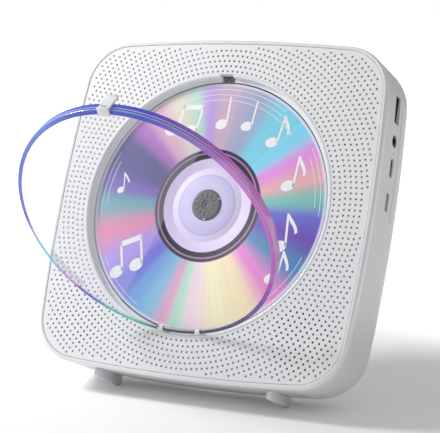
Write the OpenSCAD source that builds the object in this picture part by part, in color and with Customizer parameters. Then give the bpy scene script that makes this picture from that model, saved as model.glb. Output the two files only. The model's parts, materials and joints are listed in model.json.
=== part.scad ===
// Desk and wall disc player: a rounded square housing that leans back on two ribs and a fold-out
// leg, with a perforated front, an open disc well under a clear hinged cap, and a disc deck inside.
// Every piece is drawn in the player's own frame first: x to the right, y up the front, z out of
// the front, with z = 0 on the face of the grille. stood() then leans the player back on its table.

/* [Housing] */
// Half of the housing's width at mid height
body_half_w = 81.6; // [75:0.1:100]
// Half of the housing's height at mid width
body_half_h = 81.8; // [75:0.1:100]
// Radius of the four corners seen from the front
corner_r = 22.6; // [18:0.1:30]
// How far the two sides bow outwards
side_bow = 4.1; // [2:0.1:8]
// How far the top and the bottom bow outwards
top_bow = 4.1; // [2:0.1:8]
// Depth from the face of the grille to the back
body_depth = 38; // [36:0.5:60]
// How far the back edge is drawn in by its rounding
back_inset = 8; // [4:0.5:10]
// Depth over which the back edge rounds
back_round = 13; // [8:0.5:13]
// Wall thickness of the rear shell
wall = 2.2; // [1.8:0.1:2.6]
// Angle by which the front leans back from upright
lean = 22.2; // [15:0.1:30]
// Height of the front's mid point over the table, measured up the table's normal
lift = 88.6; // [88:0.1:90]

/* [Grille] */
// Diameter of one hole in the grille
hole_d = 1.15; // [0.8:0.05:1.4]
// Distance between two rings of holes
ring_pitch = 2.75; // [2.6:0.05:4]
// Distance between two holes along a ring
arc_pitch = 3.15; // [3:0.05:5]
// Thickness of the perforated plate
grille_t = 1.2; // [0.8:0.1:1.5]
// Width of the bare band between the holes and the plate's edge
bare_band = 1.2; // [1:0.1:4]

/* [Disc well] */
// Middle of the well, to the right of the housing's middle
well_x = -2.3; // [-2.5:0.1:-1.5]
// Middle of the well, above the housing's middle
well_y = 1.1; // [0:0.1:1.5]
// Outer radius of the raised ring round the well
ring_outer_r = 63.6; // [63.5:0.1:64]
// Inner radius of the raised ring round the well
ring_inner_r = 62.3; // [62.2:0.1:62.5]
// Radius of the disc
disc_r = 60; // [60:60]
// Radius of the disc's centre hole
disc_hole_r = 7.5; // [7.5:7.5]

/* [Clear cap] */
// Outer radius of the cap
cap_r = 61.7; // [61.6:0.1:61.8]
// Angle at which the cap stands open
cap_open = 53; // [30:1:85]
// Wall thickness of the cap
cap_t = 1.4; // [1:0.1:1.6]

/* [Ports and buttons] */
// Height of the wide data socket on the right side
data_socket_y = 54.5; // [50:0.5:56]
// Height of the headphone jack on the right side
jack_y = 39.6; // [36:0.1:42]
// Height of the status light on the right side
light_y = 33.6; // [33:0.1:34]
// Height of the charging inlet on the right side
charge_y = 26.9; // [24:0.1:28]
// Height of the slide switch on the right side
switch_y = 11; // [8:0.5:14]
// Depth of the row of ports behind the grille's face
port_z = -15.5; // [-17:0.1:-14]
// Distance between two buttons on the top edge
button_pitch = 16; // [14:0.5:18]

/* [Stand] */
// Distance of each rib under the housing from the middle
foot_x = 44.7; // [40:0.1:50]
// Thickness of a rib
foot_t = 2.4; // [2:0.1:3]
// Height of the fold-out leg's hinge above the housing's middle
leg_y = 6; // [5:0.5:7]
// Width of the fold-out leg
leg_w = 24; // [20:1:26]

/* [Hidden] */

// Depths behind the grille's face, from the front to the back
rim_top_z = 0.4;                      // crest of the front frame
baffle_top_z = -grille_t;             // the grille lies on the baffle
split_z = -3.4;                       // where the front frame meets the rear shell
ledge_z = -3.0;                       // ledge of the well under the cap's skirt
disc_top_z = -3.5;
disc_bottom_z = -4.7;
tray_floor_z = -8;
tray_back_z = -9.5;
chassis_top_z = -12;
chassis_back_z = -13.5;
board_top_z = -27.9;
board_back_z = -29.5;
back_z = -body_depth;
inner_back_z = back_z + wall;
side_end_z = back_z + back_round;     // the sides are straight down to here

// Outline of the housing: a large arc on each side, a corner arc between two of them
side_r = (body_half_h * body_half_h + side_bow * side_bow) / (2 * side_bow);
top_r = (body_half_w * body_half_w + top_bow * top_bow) / (2 * top_bow);
side_centre = [body_half_w - side_r, 0];
top_centre = [0, body_half_h - top_r];
centre_gap = norm(top_centre - side_centre);
towards_top = (top_centre - side_centre) / centre_gap;
along = (pow(side_r - corner_r, 2) - pow(top_r - corner_r, 2) + pow(centre_gap, 2))
    / (2 * centre_gap);
across = sqrt(pow(side_r - corner_r, 2) - along * along);
corner_centre = side_centre + along * towards_top + across * [-towards_top.y, towards_top.x];
top_end = atan2(corner_centre.x - top_centre.x, corner_centre.y - top_centre.y);
side_start = atan2(corner_centre.y - side_centre.y, corner_centre.x - side_centre.x);
side_steps = 5;
corner_steps = 12;

function arc_point(centre, r, a) = centre + r * [sin(a), cos(a)];
function quarter(inset) = concat(
    [for (i = [0 : side_steps]) arc_point(top_centre, top_r - inset, top_end * i / side_steps)],
    [for (i = [1 : corner_steps]) arc_point(corner_centre, corner_r - inset,
        top_end + (90 - side_start - top_end) * i / corner_steps)],
    [for (i = [1 : side_steps]) arc_point(side_centre, side_r - inset,
        90 - side_start * (1 - i / side_steps))]);
// The whole outline, drawn in by inset, anticlockwise seen from the front
function outline(inset) = let (q = quarter(inset), last = len(q) - 1) concat(
    [for (i = [last : -1 : 0]) q[i]],
    [for (i = [1 : last]) [-q[i].x, q[i].y]],
    [for (i = [last - 1 : -1 : 0]) [-q[i].x, -q[i].y]],
    [for (i = [1 : last - 1]) [q[i].x, -q[i].y]]);
// Where the outside of the housing is at a given height or width
function side_x(y) = side_centre.x + sqrt(side_r * side_r - y * y);
function top_y(x) = top_centre.y + sqrt(top_r * top_r - x * x);
function cross2(a, b) = a.x * b.y - a.y * b.x;
// Whether a point lies at least inset inside the outline
function inside(p, inset) = let (q = [abs(p.x), abs(p.y)])
    norm(q - side_centre) < side_r - inset && norm(q - top_centre) < top_r - inset
    && (cross2(corner_centre - top_centre, q - top_centre) > 0
        || cross2(corner_centre - side_centre, q - side_centre) < 0
        || norm(q - corner_centre) < corner_r - inset);

// A closed solid through rings of points, given from the first ring to the last
module loft(rings) {
    n = len(rings[0]);
    polyhedron(
        points = [for (ring = rings) for (p = ring) p],
        faces = concat(
            [[for (i = [0 : n - 1]) i]],
            [for (k = [0 : len(rings) - 2], i = [0 : n - 1]) let (j = (i + 1) % n)
                [k * n + i, (k + 1) * n + i, (k + 1) * n + j, k * n + j]],
            [[for (i = [n - 1 : -1 : 0]) (len(rings) - 1) * n + i]]));
}
// The same between rings that close on themselves, for a frame with a hole in its middle
module loop(rings) {
    n = len(rings[0]);
    m = len(rings);
    polyhedron(
        points = [for (ring = rings) for (p = ring) p],
        faces = [for (k = [0 : m - 1], i = [0 : n - 1])
            let (j = (i + 1) % n, next = (k + 1) % m)
            [k * n + i, next * n + i, next * n + j, k * n + j]]);
}
function at(points, z) = [for (p = points) [p.x, p.y, z]];

module slab(inset, low_z, high_z) {
    translate([0, 0, low_z]) linear_extrude(high_z - low_z) polygon(outline(inset));
}
module block(low, high) {
    translate(low) cube(high - low);
}
module disc_at(x, y, low_z, high_z, r, sides = 48) {
    translate([x, y, low_z]) cylinder(r = r, h = high_z - low_z, $fn = sides);
}
// A bar with half-round ends, lying across x, seen from above the housing
module pill(length, width, height, sides = 32) {
    linear_extrude(height) {
        square([length - width, width], center = true);
        for (side = [-1, 1]) translate([side * (length - width) / 2, 0])
            circle(width / 2, $fn = sides);
    }
}

// From the player's own frame to the table: leant back, lifted onto its ribs
table_shift = 12.5;                   // puts the middle of the whole depth over the origin
module stood() {
    translate([0, table_shift, lift]) rotate([90 - lean, 0, 0]) children();
}
module in_well() {
    translate([well_x, well_y, 0]) children();
}

// ---- housing ----

speaker_r = 17;
speaker_places = [[-58.5, -57], [57, -57]];
window_middle = [-1, 70.5];
window_size = [18, 12];
screw_places = [[-58, 58], [58, 58], [-26, -69.5], [26, -69.5]];
screw_r = 1.2;
screw_head_r = 2.6;
screw_head_seat = 3;
post_end_z = -13;                     // where the baffle's posts meet the shell's pillars
keyhole_x = 36;
keyhole_y = 40;
keyhole_r = 4.25;
keyhole_slot_r = 2.2;
keyhole_room_r = 5;                    // the room behind the wall, wider than the screw's head
keyhole_run = 7;
keyhole_depth = 5.2;
button_xs = [for (i = [-2 : 2]) i * button_pitch];
button_z = -16;
button_len = 9;
button_wide = 5;
leg_z = back_z + 1.9;                 // hinge axis of the fold-out leg
leg_pin_r = 1.25;
recess_top_y = leg_y + 2.6;
recess_side = leg_w / 2 + 0.6;
recess_floor_z = back_z + 4.2;
board_places = [[-68, -36], [-68, 30], [14, -36], [14, 30]];
foot_low_y = -84.2;
foot_front_z = -4.4;
foot_back_z = -27.6;
foot_flat_z = -25;
foot_root_y = -79.2;
groove_low_y = 3;
groove_high_y = 57;
groove_step = 4.5;
groove_depth = 0.3;
groove_z = -22;

module port_hole_cut() {
    far_x = body_half_w + 2;
    near_x = body_half_w - 8;
    block([near_x, data_socket_y - 6.6, port_z - 2.9], [far_x, data_socket_y + 6.6, port_z + 2.9]);
    translate([near_x, jack_y, port_z]) rotate([0, 90, 0]) cylinder(r = 2.9, h = 10, $fn = 48);
    translate([near_x, light_y, port_z]) rotate([0, 90, 0]) cylinder(r = 0.75, h = 10, $fn = 24);
    translate([near_x, charge_y, port_z]) rotate([0, 90, 0]) rotate([0, 0, 90])
        pill(9.2, 3.5, 10);
    block([near_x, switch_y - 4.2, port_z - 1.7], [far_x, switch_y + 4.2, port_z + 1.7]);
}
// A screw head goes in at the round hole and slides up the narrow slot
module keyhole_cut(x) {
    slot_y = keyhole_y + keyhole_run;
    disc_at(x, keyhole_y, back_z - 1, back_z + keyhole_depth, keyhole_r);
    block([x - keyhole_slot_r, keyhole_y, back_z - 1],
        [x + keyhole_slot_r, slot_y, back_z + keyhole_depth]);
    disc_at(x, slot_y, back_z - 1, back_z + keyhole_depth, keyhole_slot_r);
    block([x - keyhole_room_r, keyhole_y, inner_back_z],
        [x + keyhole_room_r, slot_y, back_z + keyhole_depth]);
    for (y = [keyhole_y, slot_y]) disc_at(x, y, inner_back_z, back_z + keyhole_depth, keyhole_room_r);
}
module rear_shell() {
    outer_turns = [for (i = [8 : -1 : 0]) 90 * i / 8];
    inner_turns = [for (i = [0 : 6]) 90 * i / 6];
    color("white") stood() difference() {
        union() {
            loft(concat(
                [for (t = outer_turns) at(outline(back_inset * (1 - cos(t))),
                    side_end_z - back_round * sin(t))],
                [at(outline(0), split_z), at(outline(wall), split_z)],
                [for (t = inner_turns) at(outline(wall + (back_inset - 0.6) * (1 - cos(t))),
                    side_end_z - (back_round - wall) * sin(t))]));
            for (p = screw_places) disc_at(p.x, p.y, inner_back_z - 0.5, post_end_z, 3.4);
            for (p = board_places) disc_at(p.x, p.y, inner_back_z - 0.5, board_back_z, 2.6);
            for (side = [-1, 1]) block(
                [side * keyhole_x - 6, keyhole_y - 6, inner_back_z - 0.5],
                [side * keyhole_x + 6, keyhole_y + keyhole_run + 6, back_z + keyhole_depth + 1.2]);
            block([-recess_side - 3, -body_half_h + 4.8, inner_back_z - 0.5],
                [recess_side + 3, recess_top_y + 2, recess_floor_z + 1.8]);
        }
        for (p = screw_places) {
            disc_at(p.x, p.y, back_z - 1, post_end_z + 1, 1.6, 32);
            disc_at(p.x, p.y, back_z - 1, back_z + screw_head_seat, 2.9, 32);
        }
        for (p = board_places) disc_at(p.x, p.y, inner_back_z, board_back_z + 1, 0.95, 24);
        for (side = [-1, 1]) keyhole_cut(side * keyhole_x);
        block([-recess_side, -body_half_h - 1, back_z - 1],
            [recess_side, recess_top_y, recess_floor_z]);
        translate([-recess_side - 2.4, leg_y, leg_z]) rotate([0, 90, 0])
            cylinder(r = leg_pin_r, h = 2 * recess_side + 4.8, $fn = 32);
        for (x = button_xs) translate([x, body_half_h - 6, button_z]) rotate([-90, 0, 0])
            pill(button_len + 0.6, button_wide + 0.6, 8);
        for (side = [-1, 1]) block(
            [side * foot_x - foot_t / 2, -body_half_h - 1, foot_back_z + 0.6],
            [side * foot_x + foot_t / 2, foot_root_y, foot_front_z - 0.6]);
        port_hole_cut();
        // fine groove behind the row of ports, cut in short steps along the bowed side
        for (y = [groove_low_y : groove_step : groove_high_y - groove_step]) block(
            [side_x(y + groove_step) - groove_depth, y, groove_z - 0.2],
            [body_half_w + 1, y + groove_step, groove_z + 0.2]);
    }
}

// A thin bright rim that holds the grille's edge
module front_frame() {
    color("whitesmoke") stood() loop([
        at(outline(0), split_z), at(outline(0), -0.9), at(outline(0.25), -0.2),
        at(outline(0.8), rim_top_z), at(outline(1.7), rim_top_z), at(outline(2.0), 0),
        at(outline(2.0), split_z)]);
}

// White panel behind the grille, open only behind the speakers and the receiver's window
module baffle() {
    color("white") stood() difference() {
        union() {
            slab(2.05, split_z, baffle_top_z);
            for (p = screw_places) disc_at(p.x, p.y, post_end_z, split_z + 1, 3.2);
        }
        in_well() disc_at(0, 0, split_z - 1, 1, ring_outer_r + 0.05, 96);
        for (p = speaker_places) disc_at(p.x, p.y, split_z - 1, 1, speaker_r - 2);
        translate([window_middle.x, window_middle.y, split_z - 1]) linear_extrude(4)
            square(window_size, center = true);
        for (p = screw_places) disc_at(p.x, p.y, post_end_z - 1, -5, screw_r + 0.05, 24);
    }
}

// The perforated plate: rings of holes round the well, out to the rounded edge
first_ring_r = 64.9;
ring_count = 18;
module speaker_grille() {
    color("gainsboro") stood() translate([0, 0, -grille_t]) linear_extrude(grille_t) difference() {
        polygon(outline(2.2));
        translate([well_x, well_y]) circle(ring_outer_r + 0.05, $fn = 96);
        for (k = [0 : ring_count - 1])
            let (r = first_ring_r + k * ring_pitch, n = round(360 * r * PI / 180 / arc_pitch))
            for (i = [0 : n - 1])
                let (a = 360 * (i + (k % 2) / 2) / n, p = [well_x + r * sin(a), well_y + r * cos(a)])
                if (inside(p, 2.2 + bare_band + hole_d / 2))
                    translate(p) circle(d = hole_d, $fn = 16);
    }
}

// ---- disc well and clear cap ----

hinge_y = -60.4;                      // axis of the cap, measured from the well's middle
hinge_z = 1.0;
hinge_pin_r = 0.75;
hinge_ear_x = 9.6;
hinge_ear_t = 2.4;
hinge_ear_r = 1.25;
cap_top_z = 2.2;
skirt_low_z = -2.6;
latch_w = 5.5;
latch_low_z = -7.2;
tray_inner_r = 60.6;
tray_outer_r = 62.3;
spindle_hole_r = 15;
lens_start_x = 23;
lens_travel = 35;
slot_half_w = 7;
grommet_places = [[-22, -30], [-22, 30], [50, -30], [28, 42]];

module well_ring() {
    color("white") stood() in_well() difference() {
        rotate_extrude($fn = 96) polygon([
            [ring_inner_r, split_z], [ring_outer_r, split_z], [ring_outer_r, -0.1],
            [ring_outer_r - 0.3, 0.2], [ring_inner_r + 0.35, 0.2], [ring_inner_r, -0.15]]);
        block([-latch_w / 2 - 0.6, ring_inner_r - 2, split_z - 1],
            [latch_w / 2 + 0.6, ring_outer_r - 0.2, 1]);
    }
}

// The bowl that the disc turns in, with a ledge for the cap's skirt and a slot for the lens
module well_tray() {
    color("white") stood() in_well() difference() {
        union() {
            rotate_extrude($fn = 96) polygon([
                [spindle_hole_r, tray_back_z], [tray_outer_r, tray_back_z],
                [tray_outer_r, split_z], [ring_inner_r, split_z], [ring_inner_r, ledge_z],
                [tray_inner_r, ledge_z], [tray_inner_r, -7.4], [tray_inner_r - 0.6, tray_floor_z],
                [spindle_hole_r + 1, tray_floor_z], [spindle_hole_r + 1, -7.4],
                [spindle_hole_r, -7.4]]);
            for (p = grommet_places) disc_at(p.x, p.y, chassis_back_z - 0.9, tray_back_z, 1.8, 32);
            // ears that carry the cap's hinge pin
            intersection() {
                for (side = [-1, 1]) translate([side * hinge_ear_x - hinge_ear_t / 2, 0, 0]) {
                    translate([0, hinge_y, hinge_z]) rotate([0, 90, 0])
                        cylinder(r = hinge_ear_r, h = hinge_ear_t, $fn = 32);
                    block([0, hinge_y - hinge_ear_r, ledge_z - 1], [hinge_ear_t, hinge_y + 0.2, hinge_z]);
                }
                disc_at(0, 0, ledge_z - 1, hinge_z + 2, ring_inner_r - 0.05, 96);
            }
        }
        block([lens_start_x - 6, -slot_half_w, tray_back_z - 1],
            [lens_start_x + lens_travel + 4.8, slot_half_w, tray_floor_z + 1]);
        block([-latch_w / 2 - 0.6, tray_inner_r - 1, tray_floor_z + 0.1],
            [latch_w / 2 + 0.6, tray_outer_r + 1, 1]);
        translate([-hinge_ear_x - hinge_ear_t, hinge_y, hinge_z]) rotate([0, 90, 0])
            cylinder(r = hinge_pin_r, h = 2 * (hinge_ear_x + hinge_ear_t), $fn = 32);
        for (p = grommet_places) disc_at(p.x, p.y, chassis_back_z - 2, tray_back_z - 1, 0.95, 24);
    }
}
// Turns what is drawn shut to the angle at which the cap stands open
module cap_turned() {
    stood() in_well() translate([0, hinge_y, hinge_z]) rotate([cap_open, 0, 0])
        translate([0, -hinge_y, -hinge_z]) children();
}
lug_half_w = 7.6;
relief_y = -40;                       // below here the skirt is cut back to clear the disc
module lid() {
    color([0.8, 0.8, 1, 0.4]) cap_turned() difference() {
        union() {
            rotate_extrude($fn = 96) polygon([
                [0, cap_top_z], [0, cap_top_z - cap_t], [cap_r - cap_t - 0.8, cap_top_z - cap_t],
                [cap_r - cap_t, cap_top_z - cap_t - 0.6], [cap_r - cap_t, skirt_low_z],
                [cap_r, skirt_low_z], [cap_r, cap_top_z - 0.7], [cap_r - 0.7, cap_top_z]]);
            // hinge barrel
            translate([-lug_half_w, hinge_y, hinge_z]) rotate([0, 90, 0])
                cylinder(r = hinge_ear_r, h = 2 * lug_half_w, $fn = 32);
        }
        difference() {
            block([-cap_r, -cap_r - 1, skirt_low_z - 1], [cap_r, relief_y, cap_top_z - cap_t]);
            translate([-lug_half_w, hinge_y, hinge_z]) rotate([0, 90, 0])
                cylinder(r = hinge_ear_r, h = 2 * lug_half_w, $fn = 32);
        }
        // notches for the ears
        for (side = [-1, 1]) block(
            [side * hinge_ear_x - hinge_ear_t / 2 - 0.4, -cap_r - 1, skirt_low_z],
            [side * hinge_ear_x + hinge_ear_t / 2 + 0.4, hinge_y + hinge_ear_r + 0.4, cap_top_z + 1]);
        translate([-cap_r, hinge_y, hinge_z]) rotate([0, 90, 0])
            cylinder(r = hinge_pin_r + 0.05, h = 2 * cap_r, $fn = 32);
    }
}
module lid_hinge_pin() {
    color("silver") stood() in_well()
        translate([-hinge_ear_x - hinge_ear_t / 2, hinge_y, hinge_z]) rotate([0, 90, 0])
            cylinder(r = hinge_pin_r, h = 2 * hinge_ear_x + hinge_ear_t, $fn = 32);
}
// Finger tab with a tongue that snaps behind the catch
module lid_latch() {
    color("white") cap_turned() difference() {
        union() {
            block([-latch_w / 2, cap_r - 2.5, cap_top_z], [latch_w / 2, cap_r + 1.4, cap_top_z + 1]);
            block([-latch_w / 2, cap_r, latch_low_z], [latch_w / 2, cap_r + 1.1, cap_top_z]);
            block([-latch_w / 2, cap_r, latch_low_z], [latch_w / 2, cap_r + 1.4, latch_low_z + 0.9]);
        }
        block([-1.6, cap_r, cap_top_z - 1.6], [1.6, cap_r + 2, cap_top_z - 0.8]);
    }
}
// Small white pocket behind the well's wall, whose lip the tongue snaps under
module latch_catch() {
    color("white") stood() in_well() difference() {
        block([-5, tray_outer_r, tray_back_z], [5, tray_outer_r + 2.6, -5]);
        block([-latch_w / 2 - 0.6, tray_outer_r - 1, tray_back_z + 0.8],
            [latch_w / 2 + 0.6, ring_outer_r - 0.2, split_z + 1]);
        block([-latch_w / 2 - 0.6, tray_outer_r - 1, tray_back_z + 0.8],
            [latch_w / 2 + 0.6, ring_outer_r + 0.6, tray_back_z + 3.4]);
    }
}

// ---- disc deck ----

rod_y = 13.5;
rod_z = -16;
rod_r = 1;
rod_start_x = 9.5;
rod_end_x = 71.5;
rod_block_t = 3;
sled_half_l = 9;
sled_back_z = -18;
sled_top_z = -10.6;
rack_module = 0.8;
rack_y = 17;
rack_low_z = -17.4;
rack_high_z = -15;
small_teeth = 14;
small_r = rack_module * small_teeth / 2;
big_module = 0.5;
big_teeth = 36;
big_r = big_module * big_teeth / 2;
pinion_teeth = 12;
pinion_r = big_module * pinion_teeth / 2;
gear_x = 34;
gear_y = rack_y + small_r;
gear_post_r = 1;
pinion_angle = 45;                    // direction from the feed gear to the motor
pinion_x = gear_x + (big_r + pinion_r) * cos(pinion_angle);
pinion_y = gear_y + (big_r + pinion_r) * sin(pinion_angle);
big_low_z = -21.2;
big_high_z = -19;
motor_r = 10;
motor_back_z = -22.5;
sled_motor_r = 5.5;
sled_motor_low_z = -18.4;
sled_motor_high_z = -10.2;
shaft_r = 0.75;

// Involute teeth: z teeth of module m, thinned by play at the pitch circle
pressure = 20;
function involute(a) = tan(a) * 180 / PI - a;
function flank(m, z, play, k, steps) = let (
    rp = m * z / 2, rb = rp * cos(pressure), tip = rp + 0.8 * m,
    r = rb + (tip - rb) * k / steps,
    half = 90 / z - play / rp * 90 / PI + involute(pressure) - involute(acos(min(1, rb / r))))
    [r, half];
function gear_points(m, z, play, steps = 4) = let (root = m * z / 2 - m) [
    for (i = [0 : z - 1], side = [-1, 1], k = [0 : steps + 1])
        let (step = side < 0 ? k - 1 : steps - k,
            f = flank(m, z, play, max(step, 0), steps),
            r = step < 0 ? root : f[0],
            a = 360 * i / z + side * f[1])
        r * [cos(a), sin(a)]];

module deck_chassis() {
    color("dimgray") stood() in_well() difference() {
        union() {
            translate([0, 0, chassis_back_z]) linear_extrude(chassis_top_z - chassis_back_z)
                difference() {
                    union() {
                        translate([-27, -35]) square([60, 70]);
                        translate([20, -25]) square([36, 65]);
                        translate([50, -25]) square([22, 50]);
                        for (p = grommet_places) translate(p) circle(6, $fn = 48);
                    }
                    translate([lens_start_x - 10, -10.6]) square([lens_travel + 20, 21.2]);
                    circle(3.3, $fn = 48);
                    translate([pinion_x, pinion_y]) circle(sled_motor_r + 0.1, $fn = 48);
                    for (p = grommet_places) translate(p) circle(2.6, $fn = 48);
                    translate([-20, -24]) square([18, 10]);
                    translate([-20, 14]) square([18, 10]);
                }
            for (side = [-1, 1], x = [rod_start_x, rod_end_x - rod_block_t])
                block([x, side * rod_y - 1.9, rod_z - 2], [x + rod_block_t, side * rod_y + 1.9,
                    chassis_back_z + 0.5]);
        }
        for (side = [-1, 1]) translate([rod_start_x - 1, side * rod_y, rod_z]) rotate([0, 90, 0])
            cylinder(r = rod_r, h = rod_end_x - rod_start_x + 2, $fn = 32);
    }
}
module guide_rods() {
    color("silver") stood() in_well() for (side = [-1, 1])
        translate([rod_start_x, side * rod_y, rod_z]) rotate([0, 90, 0])
            cylinder(r = rod_r, h = rod_end_x - rod_start_x, $fn = 32);
}
// Soft sleeves that hang the deck under the tray
module deck_grommets() {
    color("black") stood() in_well() for (p = grommet_places) translate([p.x, p.y, 0])
        rotate_extrude($fn = 32) polygon([
            [1.85, chassis_back_z - 0.8], [3.6, chassis_back_z - 0.8], [3.6, chassis_back_z],
            [2.55, chassis_back_z], [2.55, chassis_top_z], [3.6, chassis_top_z],
            [3.6, chassis_top_z + 0.8], [1.85, chassis_top_z + 0.8]]);
}
module deck_screws() {
    seat_z = chassis_back_z - 0.9;
    color("silver") stood() in_well() for (p = grommet_places) {
        disc_at(p.x, p.y, seat_z - 1.2, seat_z, 3.2, 32);
        disc_at(p.x, p.y, seat_z - 0.1, tray_back_z - 1.2, 0.9, 24);
    }
}
module spindle_motor() {
    color("silver") stood() in_well() difference() {
        union() {
            disc_at(0, 0, motor_back_z, chassis_back_z, motor_r);
            disc_at(0, 0, chassis_back_z - 0.5, chassis_top_z + 0.8, 3.1);
        }
        disc_at(0, 0, motor_back_z + 1, chassis_top_z + 2, shaft_r + 0.05, 32);
    }
}
hub_top_z = -2.6;
module spindle_shaft() {
    color("silver") stood() in_well() disc_at(0, 0, motor_back_z + 1.3, hub_top_z - 1.2, shaft_r, 32);
}
// Turned hub: a flange under the disc and a boss through its hole
module turntable_hub() {
    color("gray") stood() in_well() difference() {
        rotate_extrude($fn = 64) polygon([
            [0, -10.4], [3.4, -10.4], [3.4, -7.2], [13.2, -7.2], [13.5, -6.9], [13.5, -5.2],
            [7.4, -5.2], [7.4, -3.7], [7.1, -3.1], [6.4, hub_top_z], [0, hub_top_z]]);
        disc_at(0, 0, -11, hub_top_z - 1.2, shaft_r, 32);
        for (a = [30, 150, 270]) rotate([0, 0, a]) translate([6.5, 0, -3.55]) sphere(0.88, $fn = 24);
    }
}
module hub_balls() {
    color("silver") stood() in_well() for (a = [30, 150, 270]) rotate([0, 0, a])
        translate([6.5, 0, -3.55]) sphere(0.88, $fn = 24);
}
module turntable_mat() {
    color("black") stood() in_well() rotate_extrude($fn = 64)
        translate([8.2, -5.2]) square([5.2, 0.5]);
}
module disc() {
    color("violet") stood() in_well() rotate_extrude($fn = 96) polygon([
        [disc_hole_r, disc_bottom_z], [16.6, disc_bottom_z], [16.8, disc_bottom_z - 0.2],
        [17.4, disc_bottom_z - 0.2], [17.6, disc_bottom_z], [disc_r - 0.2, disc_bottom_z],
        [disc_r, disc_bottom_z + 0.2], [disc_r, disc_top_z - 0.2], [disc_r - 0.2, disc_top_z],
        [disc_hole_r, disc_top_z]]);
}

module pickup_sled() {
    color("black") stood() in_well() translate([lens_start_x, 0, 0]) difference() {
        union() {
            block([-sled_half_l, -9.6, sled_back_z], [sled_half_l, 9.6, sled_top_z]);
            block([-sled_half_l, -15.6, sled_back_z], [sled_half_l, 15.6, -14.2]);
        }
        for (side = [-1, 1]) translate([-sled_half_l - 1, side * rod_y, rod_z]) rotate([0, 90, 0])
            cylinder(r = rod_r + 0.05, h = 2 * sled_half_l + 2, $fn = 32);
        block([-sled_half_l + 2, -6, sled_back_z - 1], [sled_half_l - 2, 6, -14]);
        disc_at(0, 0, -15, sled_top_z + 1, 3.2, 32);
    }
}
module lens_holder() {
    color("black") stood() in_well() translate([lens_start_x, 0, 0]) difference() {
        union() {
            disc_at(0, 0, sled_top_z, -8.2, 4.2, 32);
            disc_at(0, 0, -8.2, -7, 3.4, 32);
        }
        disc_at(0, 0, sled_top_z - 1, -8, 2, 32);
        disc_at(0, 0, -8, -6, 2.4, 32);
    }
}
module pickup_lens() {
    color("lightblue") stood() in_well() translate([lens_start_x, 0, -8])
        rotate_extrude($fn = 32) polygon(concat([[0, 0], [2.4, 0]],
            [for (i = [0 : 6]) [2.4 * cos(90 * i / 6), 1 + 0.7 * sin(90 * i / 6)]]));
}
// Straight rack on the sled's side; a tooth of it faces a gap of the feed gear
rack_teeth_left = 16;
rack_teeth_right = 2;
rack_play = 0.12;
module sled_rack() {
    pitch = PI * rack_module;
    half = pitch / 4 - rack_play / 2;
    tip = half - 0.8 * rack_module * tan(pressure);
    root = half + rack_module * tan(pressure);
    color("ivory") stood() in_well() translate([gear_x, rack_y, rack_low_z])
        linear_extrude(rack_high_z - rack_low_z) union() {
            for (i = [-rack_teeth_left : rack_teeth_right]) polygon([
                [i * pitch - root, -rack_module], [i * pitch + root, -rack_module],
                [i * pitch + tip, 0.8 * rack_module], [i * pitch - tip, 0.8 * rack_module]]);
            translate([-(rack_teeth_left + 0.5) * pitch, -1.4])
                square([(rack_teeth_left + rack_teeth_right + 1) * pitch, 0.7]);
        }
}
feed_turn = 90 + 180 / small_teeth;   // a gap of the small wheel faces the rack below it
big_turn = pinion_angle;              // a tooth of the large wheel faces the motor
module feed_gear() {
    color("ivory") stood() in_well() translate([gear_x, gear_y, 0]) difference() {
        union() {
            translate([0, 0, -18.6]) linear_extrude(4.2) rotate(-feed_turn)
                polygon(gear_points(rack_module, small_teeth, 0.12));
            translate([0, 0, big_low_z]) linear_extrude(big_high_z - big_low_z) rotate(big_turn)
                polygon(gear_points(big_module, big_teeth, 0.1, 3));
            disc_at(0, 0, big_high_z - 0.1, -18.5, 4.4, 32);
        }
        disc_at(0, 0, -22, -14, gear_post_r + 0.05, 32);
    }
}
module gear_post() {
    color("silver") stood() in_well() {
        disc_at(gear_x, gear_y, -22.4, chassis_back_z, gear_post_r, 32);
        disc_at(gear_x, gear_y, -22.4, -21.6, 2, 32);
    }
}
module motor_pinion() {
    color("goldenrod") stood() in_well() translate([pinion_x, pinion_y, 0]) {
        translate([0, 0, big_low_z - 0.2]) linear_extrude(big_high_z - big_low_z + 0.3)
            rotate(pinion_angle + 180 + 180 / pinion_teeth)
                polygon(gear_points(big_module, pinion_teeth, 0.1, 3));
        disc_at(0, 0, -19.2, sled_motor_low_z + 2, 0.5, 24);
    }
}
module sled_motor() {
    color("silver") stood() in_well() translate([pinion_x, pinion_y, 0]) difference() {
        union() {
            disc_at(0, 0, sled_motor_low_z, sled_motor_high_z, sled_motor_r);
            disc_at(0, 0, sled_motor_low_z - 0.3, sled_motor_low_z + 0.5, 2);
            disc_at(0, 0, chassis_back_z - 0.8, chassis_back_z, sled_motor_r + 1.2);
        }
        disc_at(0, 0, sled_motor_low_z - 1, sled_motor_low_z + 2.4, 0.55, 24);
    }
}

// ---- speakers and electronics ----

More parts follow.
